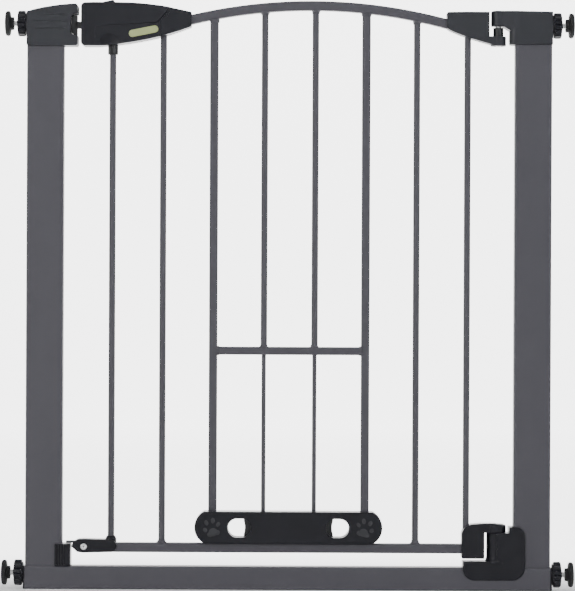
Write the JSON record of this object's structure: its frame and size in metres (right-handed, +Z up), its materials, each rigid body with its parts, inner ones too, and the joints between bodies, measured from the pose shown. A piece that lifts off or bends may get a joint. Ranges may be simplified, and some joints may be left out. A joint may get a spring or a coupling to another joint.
{
  "type": "pet gate",
  "caption": "Pressure-mounted pet gate with an arched lift-and-swing leaf, screw-out wall pads, a sliding top latch and a small sliding pet door with squeeze catches.",
  "frame": {"origin": "on the floor, under the middle of the threshold tube", "axes": "+X across the doorway towards the hinge side, +Y from the front to the back, +Z up"},
  "size_m": [0.789, 0.0354, 0.8128],
  "materials": {
    "charcoal_steel": "fine satin powder coat",
    "black_plastic": "fine moulded texture",
    "pivot_plastic": "smooth moulded acetal",
    "glow_plastic": "pale yellow-green glow inlay",
    "bright_steel": "zinc-plated",
    "screw_steel": "dark zinc-plated",
    "spring_steel": "bright drawn wire",
    "rivet_aluminium": "bright rolled aluminium",
    "pad_rubber": "matt moulded rubber"
  },
  "bodies": {
    "frame": {"latch_post": "charcoal_steel", "hinge_post": "charcoal_steel", "threshold_tube": "charcoal_steel", "threshold_plug_latch_side": "black_plastic", "threshold_plug_hinge_side": "black_plastic", "latch_housing_front": "black_plastic", "latch_housing_back": "black_plastic", "latch_housing_screws": "screw_steel", "upper_hinge_bracket": "black_plastic", "hinge_bracket_screws": "screw_steel", "upper_hinge_pin": "bright_steel", "lower_hinge_base": "black_plastic", "bottom_catch_receiver": "black_plastic"},
    "pivot": {"upper_pivot_sleeve": "pivot_plastic", "lower_pivot_bush": "pivot_plastic"},
    "gate": {"arch_rail": "charcoal_steel", "bottom_rail": "charcoal_steel", "latch_stile": "charcoal_steel", "upright_2": "charcoal_steel", "upright_7": "charcoal_steel", "hinge_stile": "charcoal_steel", "guide_tube_left": "charcoal_steel", "guide_tube_right": "charcoal_steel", "pet_bay_upright_left": "charcoal_steel", "pet_bay_upright_right": "charcoal_steel", "pet_bay_crossbar": "charcoal_steel", "handle_front_cover": "black_plastic", "handle_back_cover": "black_plastic", "handle_screws": "screw_steel", "handle_tail_collar": "black_plastic", "stile_socket": "black_plastic", "glow_strip": "glow_plastic", "upper_hinge_arm": "black_plastic", "lower_hinge_arm": "black_plastic", "bottom_catch": "black_plastic", "bottom_catch_rivet": "rivet_aluminium"},
    "latch": {"latch_bolt": "pivot_plastic", "thumb_button": "black_plastic", "latch_spring": "spring_steel"},
    "pet_door": {"pet_door_front_cover": "black_plastic", "pet_door_back_cover": "black_plastic", "pet_door_screws": "screw_steel", "pet_door_rod_left": "charcoal_steel", "pet_door_rod_right": "charcoal_steel"},
    "squeeze_left": {"squeeze_slider_left": "pivot_plastic", "squeeze_spring_left": "spring_steel"},
    "squeeze_right": {"squeeze_slider_right": "pivot_plastic", "squeeze_spring_right": "spring_steel"},
    "wheel_top_left": {"thumb_wheel_top_left": "black_plastic"},
    "spindle_top_left": {"threaded_rod_top_left": "bright_steel", "wall_pad_top_left": "pad_rubber"},
    "wheel_top_right": {"thumb_wheel_top_right": "black_plastic"},
    "spindle_top_right": {"threaded_rod_top_right": "bright_steel", "wall_pad_top_right": "pad_rubber"},
    "wheel_bottom_left": {"thumb_wheel_bottom_left": "black_plastic"},
    "spindle_bottom_left": {"threaded_rod_bottom_left": "bright_steel", "wall_pad_bottom_left": "pad_rubber"},
    "wheel_bottom_right": {"thumb_wheel_bottom_right": "black_plastic"},
    "spindle_bottom_right": {"threaded_rod_bottom_right": "bright_steel", "wall_pad_bottom_right": "pad_rubber"}
  },
  "joints": [
    {"name": "gate_swing", "type": "hinge", "parent": "frame", "child": "pivot", "pos_m": [0.288, 0, 0], "axis": [0, 0, 1], "range_deg": [-90, 90]},
    {"name": "gate_lift", "type": "slide", "parent": "pivot", "child": "gate", "axis": [0, 0, 1], "range_m": [0, 0.009]},
    {"name": "latch_slide", "type": "slide", "parent": "gate", "child": "latch", "axis": [1, 0, 0], "range_m": [0, 0.01], "stiffness_N_per_m": 250, "springref_m": -0.004, "deforming": ["latch_spring"]},
    {"name": "pet_door_lift", "type": "slide", "parent": "gate", "child": "pet_door", "axis": [0, 0, 1], "range_m": [0, 0.21]},
    {"name": "squeeze_left", "type": "slide", "parent": "pet_door", "child": "squeeze_left", "axis": [1, 0, 0], "range_m": [0, 0.006], "stiffness_N_per_m": 300, "springref_m": -0.003, "deforming": ["squeeze_spring_left"]},
    {"name": "squeeze_right", "type": "slide", "parent": "pet_door", "child": "squeeze_right", "axis": [-1, 0, 0], "range_m": [0, 0.006], "stiffness_N_per_m": 300, "springref_m": -0.003, "deforming": ["squeeze_spring_right"]},
    {"name": "spindle_extend_top_left", "type": "slide", "parent": "frame", "child": "spindle_top_left", "axis": [-1, 0, 0], "range_m": [-0.002, 0.016]},
    {"name": "wheel_spin_top_left", "type": "hinge", "parent": "frame", "child": "wheel_top_left", "pos_m": [-0.3624, 0, 0.78], "axis": [-1, 0, 0], "range_deg": [-362, 2882]},
    {"name": "spindle_extend_top_right", "type": "slide", "parent": "frame", "child": "spindle_top_right", "axis": [1, 0, 0], "range_m": [-0.002, 0.016]},
    {"name": "wheel_spin_top_right", "type": "hinge", "parent": "frame", "child": "wheel_top_right", "pos_m": [0.3624, 0, 0.78], "axis": [1, 0, 0], "range_deg": [-362, 2882]},
    {"name": "spindle_extend_bottom_left", "type": "slide", "parent": "frame", "child": "spindle_bottom_left", "axis": [-1, 0, 0], "range_m": [-0.002, 0.016]},
    {"name": "wheel_spin_bottom_left", "type": "hinge", "parent": "frame", "child": "wheel_bottom_left", "pos_m": [-0.3645, 0, 0.022], "axis": [-1, 0, 0], "range_deg": [-362, 2882]},
    {"name": "spindle_extend_bottom_right", "type": "slide", "parent": "frame", "child": "spindle_bottom_right", "axis": [1, 0, 0], "range_m": [-0.002, 0.016]},
    {"name": "wheel_spin_bottom_right", "type": "hinge", "parent": "frame", "child": "wheel_bottom_right", "pos_m": [0.3645, 0, 0.022], "axis": [1, 0, 0], "range_deg": [-362, 2882]}
  ],
  "couplings": [
    {"joint": "wheel_spin_top_left", "follows": "spindle_extend_top_left", "rad_per_m": 3141.6},
    {"joint": "wheel_spin_top_right", "follows": "spindle_extend_top_right", "rad_per_m": 3141.6},
    {"joint": "wheel_spin_bottom_left", "follows": "spindle_extend_bottom_left", "rad_per_m": 3141.6},
    {"joint": "wheel_spin_bottom_right", "follows": "spindle_extend_bottom_right", "rad_per_m": 3141.6}
  ]
}
